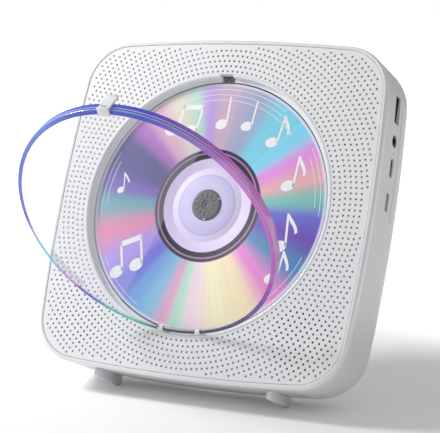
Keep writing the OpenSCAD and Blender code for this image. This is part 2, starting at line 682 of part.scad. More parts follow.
module speaker_basket(p) {
    color("dimgray") stood() translate([p.x, p.y, 0]) difference() {
        rotate_extrude($fn = 64) polygon([
            [speaker_r, split_z], [speaker_r, -5], [speaker_r - 1.6, -5], [11.4, -14.4],
            [11.4, -15.6], [5.2, -15.6], [5.2, -14.4], [10.4, -14.4], [14.4, -5.3],
            [14.4, split_z]]);
        for (a = [45 : 90 : 315]) rotate([0, 0, a]) translate([9, -3, -12.6]) cube([9, 6, 6]);
    }
}
surround = [12.8, -4.8];              // middle of the cone's soft rolled edge
module speaker_cone(p) {
    color("black") stood() translate([p.x, p.y, 0]) rotate_extrude($fn = 64) polygon(concat(
        [[0, -9.4], [4.8, -11.2], [11.7, -6]],
        [for (i = [0 : 4]) surround + 0.9 * [-cos(45 * i), sin(45 * i)]],
        [[14.3, -4.8], [14.3, -5.2], [13.3, -5.2]],
        [for (i = [0 : 4]) surround + 0.5 * [cos(45 * i), sin(45 * i)]],
        [[12.2, -6.3], [4.9, -12], [4.4, -13.8], [0, -13.8]]));
}
module speaker_magnet(p) {
    color("silver") stood() translate([p.x, p.y, 0]) {
        disc_at(0, 0, -22.6, -15.6, 9.6, 48);
        disc_at(0, 0, -23.8, -22.6, 8.4, 48);
    }
}
module left_speaker_basket() speaker_basket(speaker_places[0]);
module left_speaker_cone() speaker_cone(speaker_places[0]);
module left_speaker_magnet() speaker_magnet(speaker_places[0]);
module right_speaker_basket() speaker_basket(speaker_places[1]);
module right_speaker_cone() speaker_cone(speaker_places[1]);
module right_speaker_magnet() speaker_magnet(speaker_places[1]);

module remote_receiver() {
    color("black") stood() translate([window_middle.x, window_middle.y, 0]) {
        block([-10.5, -6.1, split_z - 1.2], [10.5, 6.1, split_z]);
        translate([4, 0, split_z - 0.1]) cylinder(r = 2.4, h = 1.6, $fn = 32);
        block([-7, -2.5, split_z - 0.1], [-1, 2.5, split_z + 1.3]);
    }
}
module main_board() {
    color("darkgreen") stood() difference() {
        union() {
            block([-72, -40, board_back_z], [18, 34, board_top_z]);
            block([-40, -12, board_top_z - 0.1], [-26, 2, board_top_z + 1.6]);
            block([-14, -16, board_top_z - 0.1], [-6, -8, board_top_z + 1.2]);
            block([-64, 8, board_top_z - 0.1], [-54, 26, board_top_z + 3.4]);
            for (x = [-62, -50]) disc_at(x, -26, board_top_z - 0.1, board_top_z + 5, 3.2, 32);
            block([2, -8, board_top_z - 0.1], [8, 18, board_top_z + 2.2]);
        }
        for (p = board_places) disc_at(p.x, p.y, board_back_z - 1, board_top_z + 1, 1.3, 24);
    }
}
module board_screws() {
    color("silver") stood() for (p = board_places) {
        disc_at(p.x, p.y, board_top_z, board_top_z + 1.2, 2.2, 32);
        disc_at(p.x, p.y, board_back_z - 4, board_top_z + 0.1, 0.9, 24);
    }
}
module battery_pack() {
    color("steelblue") stood() translate([45.5, -1, inner_back_z]) linear_extrude(7.4) union() {
        square([46, 54], center = true);
        square([50, 50], center = true);
        for (x = [-23, 23], y = [-25, 25]) translate([x, y]) circle(2, $fn = 32);
    }
}
board_edge_x = 75.4;
module port_board() {
    color("darkgreen") stood() block([62, 5, -19.6], [board_edge_x, 61.6, -18.4]);
}
// Folded metal shell with its tongue inside
module data_socket() {
    mouth_x = side_x(data_socket_y + 6.6) - 0.7;
    color("silver") stood() translate([mouth_x, data_socket_y, port_z]) difference() {
        block([-14, -6.55, -2.85], [0, 6.55, 2.85]);
        difference() {
            block([-12.4, -6.25, -2.55], [1, 6.25, 2.55]);
            block([-12.4, -5.7, -0.2], [-0.9, 5.7, 1.7]);
        }
    }
}
module headphone_jack() {
    mouth_x = side_x(jack_y) - 0.5;
    color("black") stood() translate([mouth_x, jack_y, port_z]) difference() {
        union() {
            rotate([0, -90, 0]) cylinder(r = 2.85, h = 6, $fn = 48);
            block([-17, -3.2, -2.9], [-3.2, 3.2, 2.6]);
        }
        translate([1, 0, 0]) rotate([0, -90, 0]) cylinder(r = 1.75, h = 15, $fn = 48);
    }
}
module charge_inlet() {
    mouth_x = side_x(charge_y) - 0.8;
    color("silver") stood() translate([mouth_x, charge_y, port_z]) difference() {
        union() {
            rotate([0, -90, 0]) rotate([0, 0, 90]) pill(8.94, 3.26, 7.6, 12);
            block([-7.5, -4.2, -2.9], [-3.4, 4.2, 0]);
        }
        difference() {
            translate([1, 0, 0]) rotate([0, -90, 0]) rotate([0, 0, 90]) pill(8.34, 2.66, 7.4, 12);
            block([-6.6, -3.3, -0.35], [-1, 3.3, 0.35]);
        }
    }
}
module status_light() {
    color("white") stood() translate([side_x(light_y) - 0.2, light_y, port_z]) rotate([0, -90, 0])
        cylinder(r = 0.7, h = 7.4, $fn = 24);
}
knob_low_y = switch_y - 2.6;
module switch_body() {
    color("dimgray") stood() block([side_x(switch_y) - 8.6, switch_y - 5, port_z - 2.9],
        [side_x(switch_y) - 3.4, switch_y + 5, port_z + 2.4]);
}
module switch_knob() {
    color("lightgray") stood() translate([side_x(switch_y), knob_low_y, port_z]) {
        block([-3.3, -1.5, -1.6], [-0.5, 1.5, 1.6]);
        for (y = [-0.8, 0, 0.8]) block([-0.6, y - 0.2, -1.6], [-0.25, y + 0.2, 1.6]);
    }
}
// Key cap with a flange behind the wall and a stem over its small switch
module top_button(i) {
    x = button_xs[i];
    crown_y = top_y(x) + 0.7;
    inner_y = top_y(abs(x) + button_len / 2 + 1.2) - wall - 0.15;
    color("lightgray") stood() translate([x, 0, button_z]) rotate([-90, 0, 0]) {
        translate([0, 0, inner_y]) pill(button_len, button_wide, crown_y - 0.5 - inner_y);
        translate([0, 0, crown_y - 0.55]) pill(button_len - 0.8, button_wide - 0.8, 0.55);
        translate([0, 0, inner_y - 1]) pill(button_len + 2, button_wide + 1.6, 1.05);
        translate([0, 0, 75.4]) cylinder(r = 1.4, h = inner_y - 75.4, $fn = 32);
    }
}
module button_back() top_button(0);
module button_play() top_button(2);
module button_next() top_button(1);
module button_softer() top_button(3);
module button_louder() top_button(4);
module button_board() {
    color("darkgreen") stood() {
        block([-42, 69.8, button_z - 5], [42, 71.2, button_z + 5]);
        for (x = button_xs) {
            block([x - 3, 71.1, button_z - 3], [x + 3, 73.9, button_z + 3]);
            translate([x, 73.8, button_z]) rotate([-90, 0, 0]) cylinder(r = 1.6, h = 0.8, $fn = 32);
        }
    }
}

// ---- stand ----

leg_length = 80.4;                    // from the hinge to the middle of the rubber end
leg_t = 3;
pad_r = 1.6;
hinge_height = lift + leg_y * cos(lean) + leg_z * sin(lean);
leg_open = lean + acos((hinge_height - pad_r) / leg_length);
module leg_turned() {
    stood() translate([0, leg_y, leg_z]) rotate([leg_open, 0, 0]) children();
}
module kickstand() {
    color("white") leg_turned() difference() {
        union() {
            translate([-leg_w / 2, 0, 0]) rotate([0, 90, 0])
                cylinder(r = 1.9, h = leg_w, $fn = 32);
            translate([0, 0, -leg_t / 2]) linear_extrude(leg_t) polygon([
                [-leg_w / 2, 0], [leg_w / 2, 0], [leg_w / 2 - 1, -leg_length + 4],
                [leg_w / 2 - 3, -leg_length + pad_r], [-leg_w / 2 + 3, -leg_length + pad_r],
                [-leg_w / 2 + 1, -leg_length + 4]]);
        }
        translate([-leg_w, 0, 0]) rotate([0, 90, 0])
            cylinder(r = leg_pin_r + 0.05, h = 2 * leg_w, $fn = 32);
        translate([0, 0, -leg_t]) linear_extrude(2 * leg_t) polygon([
            [-leg_w / 2 + 5, -10], [leg_w / 2 - 5, -10], [leg_w / 2 - 6, -leg_length + 14],
            [-leg_w / 2 + 6, -leg_length + 14]]);
    }
}
module kickstand_pin() {
    color("silver") stood() translate([-recess_side - 2.2, leg_y, leg_z]) rotate([0, 90, 0])
        cylinder(r = leg_pin_r, h = 2 * recess_side + 4.4, $fn = 32);
}
module kickstand_pad() {
    color("gray") leg_turned() translate([-leg_w / 2 + 3.4, -leg_length, 0]) rotate([0, 90, 0]) {
        cylinder(r = pad_r, h = leg_w - 6.8, $fn = 32);
        translate([-leg_t / 2, 0, 0]) cube([leg_t, pad_r, leg_w - 6.8]);
    }
}
// Where the table is, behind the housing's own frame, at depth z
function table_y(z) = (-lift - z * sin(lean)) / cos(lean);
module foot(x) {
    color("white") stood() translate([x + (foot_t - 0.1) / 2, 0, 0]) rotate([0, -90, 0])
        linear_extrude(foot_t - 0.1) polygon([
            [foot_front_z - 0.7, foot_root_y - 0.1], [foot_front_z - 0.7, -80.9],
            [foot_front_z, -81.2], [foot_front_z, foot_low_y], [foot_front_z - 0.6, foot_low_y - 0.4],
            [foot_flat_z, table_y(foot_flat_z)], [foot_back_z, table_y(foot_back_z)],
            [foot_back_z, -80.9], [foot_back_z + 0.7, -80.9], [foot_back_z + 0.7, foot_root_y - 0.1]]);
}
module left_foot() foot(-foot_x);
module right_foot() foot(foot_x);

module case_screws() {
    seat_z = back_z + screw_head_seat;
    color("silver") stood() for (p = screw_places) {
        difference() {
            disc_at(p.x, p.y, seat_z - 1.8, seat_z, screw_head_r, 32);
            for (a = [0, 90]) translate([p.x, p.y, seat_z - 1.8]) rotate([0, 0, a])
                cube([2.6, 0.7, 1.6], center = true);
        }
        disc_at(p.x, p.y, seat_z - 0.1, -6, screw_r, 24);
    }
}

rear_shell();
front_frame();
baffle();
speaker_grille();
well_ring();
well_tray();
lid();
lid_latch();
latch_catch();
lid_hinge_pin();
deck_chassis();
deck_grommets();
deck_screws();
spindle_motor();
spindle_shaft();
turntable_hub();
hub_balls();
turntable_mat();
disc();
pickup_sled();
lens_holder();
pickup_lens();
sled_rack();
guide_rods();
feed_gear();
gear_post();
motor_pinion();
sled_motor();
left_speaker_basket();
left_speaker_cone();
left_speaker_magnet();
right_speaker_basket();
right_speaker_cone();
right_speaker_magnet();
remote_receiver();
main_board();
board_screws();
battery_pack();
port_board();
data_socket();
headphone_jack();
charge_inlet();
status_light();
switch_body();
switch_knob();
button_back();
button_play();
button_next();
button_softer();
button_louder();
button_board();
kickstand();
kickstand_pin();
kickstand_pad();
left_foot();
right_foot();
case_screws();
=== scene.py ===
import json
from math import atan2, cos, pi, radians, sin, sqrt

import bpy
from mathutils import Matrix, Vector


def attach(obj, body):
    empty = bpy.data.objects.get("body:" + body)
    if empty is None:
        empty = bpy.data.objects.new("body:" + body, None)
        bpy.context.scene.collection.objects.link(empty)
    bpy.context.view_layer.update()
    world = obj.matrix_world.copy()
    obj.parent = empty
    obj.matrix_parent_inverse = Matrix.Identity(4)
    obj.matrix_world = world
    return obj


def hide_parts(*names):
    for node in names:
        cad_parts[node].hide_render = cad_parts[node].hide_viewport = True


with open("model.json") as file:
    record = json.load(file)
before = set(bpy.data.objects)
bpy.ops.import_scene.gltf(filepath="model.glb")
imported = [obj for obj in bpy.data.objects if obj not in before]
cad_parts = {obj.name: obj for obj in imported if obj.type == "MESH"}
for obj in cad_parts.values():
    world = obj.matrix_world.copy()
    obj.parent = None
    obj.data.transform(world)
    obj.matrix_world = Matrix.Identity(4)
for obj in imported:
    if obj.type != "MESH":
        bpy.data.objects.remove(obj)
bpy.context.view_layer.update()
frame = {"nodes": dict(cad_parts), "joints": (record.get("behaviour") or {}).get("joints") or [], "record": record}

# ---- camera --------------------------------------------------------------------------------
# A long lens a little above the player and to its right, so that the front, the right side
# with its sockets and the shadow behind all show.
CAMERA_SPOT = (0.3215, -0.5983, 0.1814)
CAMERA_TURN = 27.28
CAMERA_DOWN = 8.07
LENS = 122.7

bpy.ops.object.select_all(action="DESELECT")
bpy.ops.object.camera_add(
    location=CAMERA_SPOT,
    rotation=(radians(90 - CAMERA_DOWN), 0, radians(CAMERA_TURN)))
camera = bpy.context.object
camera.name = "camera"
camera.data.lens = LENS
camera.data.sensor_width = 36
camera.data.clip_start = 0.01
bpy.context.scene.camera = camera

# ---- where the player stands ----------------------------------------------------------------
# The player leans back on two ribs and a leg. The spindle's joint gives the middle of the disc
# and the direction out of the front. Pieces are modelled flat, in millimetres, x to the right,
# y up the front and z out of the grille's face, and stood in their place at the end.
WELL_X = -2.3
WELL_Y = 1.1
DISC_UNDER = -4.7
MM = 0.001

joints = {joint["name"]: joint for joint in frame["joints"]}
out_of_front = Vector(joints["disc_spin"]["axis"]).normalized()
up_front = out_of_front.cross(Vector((1, 0, 0)))
stood = Matrix.Translation(joints["disc_spin"]["pos_m"]) @ Matrix((
    (1, up_front.x, out_of_front.x, 0), (0, up_front.y, out_of_front.y, 0),
    (0, up_front.z, out_of_front.z, 0), (0, 0, 0, 1))) @ Matrix.Scale(MM, 4) \
    @ Matrix.Translation((-WELL_X, -WELL_Y, -DISC_UNDER))
in_well = stood @ Matrix.Translation((WELL_X, WELL_Y, 0))


def finish_piece(name, place, material, body, slot, *nodes, angle=35):
    """Names the active object, shades it, stands it in its place and lets it ride."""
    piece = bpy.context.object
    piece.name = piece.data.name = name
    piece.data.transform(place @ piece.matrix_world)
    piece.matrix_world = Matrix.Identity(4)
    piece.data.materials.clear()
    piece.data.materials.append(material)
    if angle:
        bpy.ops.object.shade_smooth_by_angle(angle=radians(angle))
    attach(piece, body)
    if nodes:
        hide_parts(*nodes)
    bpy.ops.object.select_all(action="DESELECT")
    return piece


def apply_modifier(kind, **settings):
    """Adds a modifier to the active object and applies it."""
    modifier = bpy.context.object.modifiers.new(kind.lower(), kind)
    for name, value in settings.items():
        setattr(modifier, name, value)
    bpy.ops.object.modifier_apply(modifier=modifier.name)


# ---- moulded white plastic -------------------------------------------------------------------
# Housing, frame, tray and leg are moulded from satin white plastic with a very fine grain. The
# grain is shared with every other moulded part, each with its own colour and coarseness.
def new_finish(name):
    """A new material, its node tree and its main shader."""
    material = bpy.data.materials.new(name)
    material.use_nodes = True
    return material, material.node_tree, material.node_tree.nodes["Principled BSDF"]


def linear(red, green, blue):
    """A colour as a paint chart gives it, from 0 to 255, in linear light."""
    return tuple(((v / 255 + 0.055) / 1.055) ** 2.4 if v > 10 else v / 3295
                 for v in (red, green, blue)) + (1,)


def new_group(name, inputs, outputs):
    group = bpy.data.node_groups.new(name, "ShaderNodeTree")
    for socket, kind, value in inputs:
        made = group.interface.new_socket(socket, in_out="INPUT", socket_type="NodeSocket" + kind)
        made.default_value = value
    for socket, kind in outputs:
        group.interface.new_socket(socket, in_out="OUTPUT", socket_type="NodeSocket" + kind)
    return group, group.nodes.new("NodeGroupInput"), group.nodes.new("NodeGroupOutput")


def add_node(tree, kind, inputs=(), **settings):
    """A shader node with its settings, and its inputs set to values or joined to sockets."""
    node = tree.nodes.new("ShaderNode" + kind)
    for name, value in settings.items():
        setattr(node, name, value)
    for key, value in dict(inputs).items():
        if isinstance(value, bpy.types.NodeSocket):
            tree.links.new(value, node.inputs[key])
        else:
            node.inputs[key].default_value = value
    return node


def make_grain():
    """Fine grain and faint flow marks of a moulded part, on the piece's own coordinates."""
    group, given, put_out = new_group(
        "moulded_grain",
        [("Color", "Color", (0.8, 0.8, 0.8, 1)), ("Roughness", "Float", 0.4),
         ("Grain", "Float", 2400.0), ("Depth", "Float", 0.25), ("Mottle", "Float", 0.02)],
        [("Color", "Color"), ("Roughness", "Float"), ("Normal", "Vector")])
    place = add_node(group, "TexCoord").outputs["Object"]
    cloud = add_node(group, "TexNoise", {"Vector": place, "Scale": 46.0, "Detail": 3.0})
    grain = add_node(group, "TexNoise",
                     {"Vector": place, "Scale": given.outputs["Grain"], "Detail": 2.0})
    swing = add_node(group, "Math", {0: cloud.outputs["Fac"], 1: 0.5}, operation="SUBTRACT")
    spread = add_node(group, "Math", {0: swing.outputs[0], 1: given.outputs["Mottle"], 2: 1.0},
                      operation="MULTIPLY_ADD")
    shade = add_node(group, "VectorMath", {0: given.outputs["Color"], "Scale": spread.outputs[0]},
                     operation="SCALE")
    rough = add_node(group, "Math", {0: swing.outputs[0], 1: 0.12, 2: given.outputs["Roughness"]},
                     operation="MULTIPLY_ADD")
    bump = add_node(group, "Bump", {"Strength": given.outputs["Depth"], "Distance": 0.00004,
                                    "Height": grain.outputs["Fac"]})
    group.links.new(shade.outputs[0], put_out.inputs["Color"])
    group.links.new(rough.outputs[0], put_out.inputs["Roughness"])
    group.links.new(bump.outputs[0], put_out.inputs["Normal"])
    return group


moulded_grain = make_grain()


def moulded(name, colour, roughness=0.42, grain=2400.0, depth=0.25, mottle=0.02, coat=0.0):
    """Injection moulded plastic or rubber with the shared grain."""
    material, tree, skin = new_finish(name)
    group = tree.nodes.new("ShaderNodeGroup")
    group.node_tree = moulded_grain
    for socket, value in (("Color", colour), ("Roughness", roughness), ("Grain", grain),
                          ("Depth", depth), ("Mottle", mottle)):
        group.inputs[socket].default_value = value
    tree.links.new(group.outputs["Color"], skin.inputs["Base Color"])
    tree.links.new(group.outputs["Roughness"], skin.inputs["Roughness"])
    tree.links.new(group.outputs["Normal"], skin.inputs["Normal"])
    skin.inputs["Coat Weight"].default_value = coat
    skin.inputs["Coat Roughness"].default_value = 0.12
    return material


white_shell = moulded("white_shell", linear(226, 227, 229), 0.4, coat=0.1)
white_rim = moulded("white_rim", linear(238, 240, 242), 0.25, depth=0.1, coat=0.3)
# A grey copy of the white plastic: painted shade on the white baffle that shows through the grille's holes.
white_panel = moulded("white_panel", linear(196, 198, 200), 0.6)
# A lighter copy of the white plastic: painted light that lifts the shade inside the disc well.
white_well_painted_light = moulded("white_well_painted_light", linear(236, 238, 240), 0.4, coat=0.1)

# ---- housing -------------------------------------------------------------------------------
# Rear shell, front rim, ribs, leg and keys are plain mouldings whose shape the frame already
# holds. Each is recast: its triangles are merged to whole faces and its long curves are shaded
# round, and the ribs, leg and keys get the small radius on their sharp edges that a mould leaves.
def pick(piece):
    """Makes piece the only one selected, and the active one."""
    bpy.ops.object.select_all(action="DESELECT")
    piece.select_set(True)
    bpy.context.view_layer.objects.active = piece


def recast(node, name, material, edge=0.0, angle=32):
    """A clean copy of a CAD node, with eased edges of that radius in millimetres."""
    source = frame["nodes"][node]
    piece = bpy.data.objects.new(name, source.data.copy())
    bpy.context.scene.collection.objects.link(piece)
    pick(piece)
    bpy.ops.object.mode_set(mode="EDIT")
    bpy.ops.mesh.select_all(action="SELECT")
    bpy.ops.mesh.remove_doubles(threshold=0.000002)
    bpy.ops.mesh.customdata_custom_splitnormals_clear()
    bpy.ops.mesh.dissolve_limited(angle_limit=radians(0.6))
    bpy.ops.object.mode_set(mode="OBJECT")
    if edge:
        apply_modifier("BEVEL", width=edge * MM, segments=2, limit_method="ANGLE",
                       angle_limit=radians(50), use_clamp_overlap=True)
    part = next(row for row in frame["record"]["subparts"] if row["node"] == node)
    body = next(b for b, held in frame["record"]["behaviour"]["bodies"].items() if node in held)
    return finish_piece(name, Matrix.Identity(4), material, body, part["material_slot"], node,
                        angle=angle)


recast("rear_shell", "shell", white_shell)
recast("front_frame", "front_rim", white_rim)
for side in ("left", "right"):
    recast(side + "_foot", side + "_rib", white_shell, edge=0.25)
recast("kickstand", "fold_out_leg", white_shell, edge=0.3)

# ---- perforated grille -----------------------------------------------------------------------
# A thin moulded plate with some 1,560 round holes in rings about the disc well, snapped into
# the front rim. It stands in for the frame's plate, whose holes are a little further apart.
HALF_W = 81.6
HALF_H = 81.8
CORNER_R = 22.6
BOW = 4.1
PLATE_INSET = 2.2
PLATE_T = 1.2
WELL_RIM_R = 63.65
HOLE_R = 0.575
HOLE_SIDES = 14
FIRST_RING_R = 65.0
RING_PITCH = 2.6
ARC_PITCH = 2.6
RINGS = 19
BARE_BAND = 1.1

side_r = (HALF_H ** 2 + BOW ** 2) / (2 * BOW)
top_r = (HALF_W ** 2 + BOW ** 2) / (2 * BOW)
side_centre = Vector((HALF_W - side_r, 0))
top_centre = Vector((0, HALF_H - top_r))
gap = (top_centre - side_centre).length
towards = (top_centre - side_centre) / gap
along = ((side_r - CORNER_R) ** 2 - (top_r - CORNER_R) ** 2 + gap ** 2) / (2 * gap)
across = sqrt((side_r - CORNER_R) ** 2 - along ** 2)
corner_centre = side_centre + along * towards + across * Vector((-towards.y, towards.x))
top_turn = atan2(corner_centre.x - top_centre.x, corner_centre.y - top_centre.y)
side_turn = pi / 2 - atan2(corner_centre.y - side_centre.y, corner_centre.x - side_centre.x)


def outline(inset):
    """The player's rounded square outline, drawn in by inset, anticlockwise."""
    arcs = ((top_centre, top_r, 0, top_turn, 8), (corner_centre, CORNER_R, top_turn, side_turn, 16),
            (side_centre, side_r, side_turn, pi / 2, 8))
    quarter = []
    for centre, radius, start, end, steps in arcs:
        for i in range(steps):
            turn = start + (end - start) * i / steps
            quarter.append((centre.x + (radius - inset) * sin(turn),
                            centre.y + (radius - inset) * cos(turn)))
    quarter.append((HALF_W - inset, 0))
    right = quarter + [(x, -y) for x, y in quarter[-2::-1]]
    whole = right + [(-x, y) for x, y in right[-2:0:-1]]
    return whole[::-1]


def within(x, y, inset):
    """Whether a point lies at least inset inside the outline."""
    point = Vector((abs(x), abs(y)))
    to_corner = point - corner_centre
    if to_corner.x > 0 and to_corner.y > 0 and to_corner.length > CORNER_R - inset:
        return False
    return (point - side_centre).length < side_r - inset \
        and (point - top_centre).length < top_r - inset


def add_mesh(name, points, faces):
    """A new active object from points in millimetres."""
    mesh = bpy.data.meshes.new(name)
    mesh.from_pydata([tuple(p) for p in points], [], faces)
    piece = bpy.data.objects.new(name, mesh)
    bpy.context.scene.collection.objects.link(piece)
    pick(piece)
    return piece


def plate_of(name, points, low, high):
    """A flat plate over an outline, extruded from low to high."""
    piece = add_mesh(name, [(x, y, low) for x, y in points], [range(len(points))])
    bpy.ops.object.mode_set(mode="EDIT")
    bpy.ops.mesh.select_all(action="SELECT")
    bpy.ops.mesh.extrude_region_move(TRANSFORM_OT_translate={"value": (0, 0, high - low)})
    bpy.ops.mesh.select_all(action="SELECT")
    bpy.ops.mesh.normals_make_consistent(inside=False)
    bpy.ops.object.mode_set(mode="OBJECT")
    return piece


def cut(piece, cutter, operation="DIFFERENCE"):
    """Cuts piece by cutter, or joins them, and removes the cutter."""
    pick(piece)
    apply_modifier("BOOLEAN", object=cutter, operation=operation, solver="MANIFOLD")
    bpy.data.objects.remove(cutter)


plate = plate_of("grille", outline(PLATE_INSET), -PLATE_T, 0)
bpy.ops.mesh.primitive_cylinder_add(
    vertices=128, radius=WELL_RIM_R, depth=8, location=(WELL_X, WELL_Y, 0))
cut(plate, bpy.context.object)

bpy.ops.mesh.primitive_cylinder_add(vertices=HOLE_SIDES, radius=HOLE_R, depth=6)
drill = bpy.context.object
drill_points = [v.co.copy() for v in drill.data.vertices]
drill_faces = [tuple(f.vertices) for f in drill.data.polygons]
bpy.data.objects.remove(drill)
points = []
faces = []
for ring in range(RINGS):
    ring_r = FIRST_RING_R + ring * RING_PITCH
    count = round(2 * pi * ring_r / ARC_PITCH)
    for i in range(count):
        turn = 2 * pi * (i + (ring % 2) / 2) / count
        x = WELL_X + ring_r * sin(turn)
        y = WELL_Y + ring_r * cos(turn)
        if within(x, y, PLATE_INSET + BARE_BAND + HOLE_R):
            faces += [[len(points) + k for k in face] for face in drill_faces]
            points += [p + Vector((x, y, 0)) for p in drill_points]
drills = add_mesh("drills", points, faces)
cut(plate, drills)
finish_piece("grille", stood, moulded("white_grille", linear(238, 239, 241), 0.55), "case",
             "white_grille", "speaker_grille", angle=40)

# ---- disc well -------------------------------------------------------------------------------
# A white ring lines the opening in the grille, and the tray inside it has a ledge for the cap
# and a round floor. The ring is turned from a profile, and the tray is recast from the frame's
# and keeps its slot for the lens.
def cut_box(piece, centre, size):
    """Cuts a square box out of piece."""
    bpy.ops.mesh.primitive_cube_add(size=1, location=centre)
    bpy.context.object.scale = size
    bpy.ops.object.transform_apply(location=False, rotation=False, scale=True)
    cut(piece, bpy.context.object)


def turned(name, profile, steps=160):
    """A ring turned from a closed profile of (radius, height) points round the z axis."""
    count = len(profile)
    piece = add_mesh(name, [(r, 0, z) for r, z in profile], [range(count)])
    bpy.ops.object.mode_set(mode="EDIT")
    bpy.ops.mesh.select_all(action="SELECT")
    bpy.ops.mesh.delete(type="ONLY_FACE")
    bpy.ops.mesh.select_all(action="SELECT")
    bpy.ops.mesh.spin(steps=steps, angle=2 * pi, center=(0, 0, 0), axis=(0, 0, 1))
    bpy.ops.mesh.select_all(action="SELECT")
    bpy.ops.mesh.remove_doubles(threshold=0.0005)
    bpy.ops.mesh.normals_make_consistent(inside=False)
    bpy.ops.object.mode_set(mode="OBJECT")
    return piece


def rounded(corners, steps=3):
    """A closed profile with each (r, z, radius) corner rounded."""
    points = []
    for i, (r, z, radius) in enumerate(corners):
        corner = Vector((r, z))
        if not radius:
            points.append((r, z))
            continue
        before = (Vector(corners[i - 1][:2]) - corner).normalized()
        after = (Vector(corners[(i + 1) % len(corners)][:2]) - corner).normalized()
        half = before.angle(after) / 2
        middle = corner + (before + after).normalized() * radius / sin(half)
        start = corner + before * (middle - corner).dot(before)
        end = corner + after * (middle - corner).dot(after)
        for k in range(steps + 1):
            way = (start.lerp(end, k / steps) - middle).normalized()
            points.append(tuple(middle + way * radius))
    return points


RING_IN = 62.3
RING_OUT = 63.6
LATCH_WAY = (6.7, 2.2, 8)             # the gap in the ring that the latch passes
LATCH_WAY_Z = -1.5
turned("ring", rounded([(RING_IN, -3.4, 0), (RING_OUT, -3.4, 0), (RING_OUT, 0.2, 0.3),
                        (RING_IN, 0.2, 0.35)]))
cut_box(bpy.context.object, (0, RING_IN, LATCH_WAY_Z), LATCH_WAY)
finish_piece("well_rim", in_well, white_rim, "case", "white_shell", "well_ring")
recast("well_tray", "tray", white_well_painted_light)

# ---- disc ------------------------------------------------------------------------------------
# A pressed 120 mm disc, clear at the hub and mirror coated beyond it. The bands of colour that
# its fine tracks spread from white light, running out from the middle like the beams of a fan,
# are painted into its base colour as a painted sheen.
DISC_TOP = -3.5
turned("disc", [
    (7.5, DISC_UNDER), (16.6, DISC_UNDER), (16.8, DISC_UNDER - 0.2), (17.4, DISC_UNDER - 0.2),
    (17.6, DISC_UNDER), (59.8, DISC_UNDER), (60, DISC_UNDER + 0.2), (60, DISC_TOP - 0.2),
    (59.8, DISC_TOP), (18.4, DISC_TOP), (18.2, DISC_TOP - 0.12), (17.4, DISC_TOP - 0.12),
    (17.2, DISC_TOP), (7.7, DISC_TOP), (7.5, DISC_TOP - 0.2)], steps=180)

# Painted sheen: the colours that the disc's tracks would spread from white light, painted by angle.
PAINTED_SHEEN = (                             # degrees clockwise from the top, and the colour there
    (0, 214, 186, 208), (20, 166, 178, 212), (32, 132, 214, 238), (50, 134, 218, 246),
    (60, 232, 150, 232), (72, 236, 176, 184), (84, 126, 196, 190), (94, 112, 106, 208),
    (104, 112, 84, 184), (118, 84, 142, 192), (134, 236, 142, 216), (148, 254, 236, 196),
    (164, 254, 248, 206), (178, 252, 226, 238), (186, 190, 238, 214), (192, 232, 176, 210),
    (202, 140, 198, 234), (212, 124, 172, 230), (222, 118, 122, 228), (236, 178, 150, 246),
    (252, 244, 138, 184), (267, 104, 176, 190), (279, 112, 82, 196), (288, 58, 58, 146),
    (300, 58, 54, 140), (311, 182, 104, 206), (320, 240, 184, 220), (334, 240, 236, 214),
    (343, 196, 236, 220), (351, 200, 170, 240))
RINGS_OF_DISC = (                     # radius, colour, and how much it covers the sheen
    (7.5, 222, 216, 250, 1), (13.8, 214, 206, 250, 1), (14.4, 196, 188, 236, 1),
    (15.2, 236, 224, 255, 1), (22.5, 230, 216, 255, 1), (22.9, 40, 36, 58, 1),
    (25.0, 36, 32, 52, 1), (25.3, 176, 134, 172, 1), (25.8, 168, 126, 168, 1),
    (26.1, 44, 38, 64, 1), (27.3, 60, 52, 82, 1), (27.7, 150, 140, 190, 0),
    (58.4, 200, 200, 220, 0), (58.9, 226, 226, 240, 0.8), (60, 232, 234, 246, 0.8))


def fill_ramp(ramp, stops):
    """Sets a colour ramp to (place, colour) stops."""
    while len(ramp.elements) > 1:
        ramp.elements.remove(ramp.elements[-1])
    ramp.elements[0].position = stops[0][0]
    ramp.elements[0].color = stops[0][1]
    for place, colour in stops[1:]:
        ramp.elements.new(place).color = colour


def own_frame(tree, place):
    """Coordinates in millimetres in the flat frame that a piece was modelled in."""
    where, turn, _ = place.decompose()
    coordinates = add_node(tree, "TexCoord")
    mapping = add_node(tree, "Mapping", {
        "Vector": coordinates.outputs["Object"], "Location": where,
        "Rotation": turn.to_euler(), "Scale": (MM, MM, MM)}, vector_type="TEXTURE")
    return add_node(tree, "SeparateXYZ", {0: mapping.outputs[0]})


def turn_and_radius(tree, place):
    """The clockwise angle from the top as a share of a turn, and the radius in millimetres."""
    flat = own_frame(tree, place)
    angle = add_node(tree, "Math", {0: flat.outputs["X"], 1: flat.outputs["Y"]},
                     operation="ARCTAN2")
    share = add_node(tree, "Math", {0: angle.outputs[0], 1: 1 / (2 * pi)}, operation="MULTIPLY")
    share = add_node(tree, "Math", {0: share.outputs[0]}, operation="FRACT")
    square = add_node(tree, "Math", {0: flat.outputs["X"], 1: flat.outputs["X"]},
                      operation="MULTIPLY")
    square = add_node(tree, "Math", {0: flat.outputs["Y"], 1: flat.outputs["Y"],
                                     2: square.outputs[0]}, operation="MULTIPLY_ADD")
    radius = add_node(tree, "Math", {0: square.outputs[0], 1: 0.5}, operation="POWER")
    return share.outputs[0], radius.outputs[0], flat


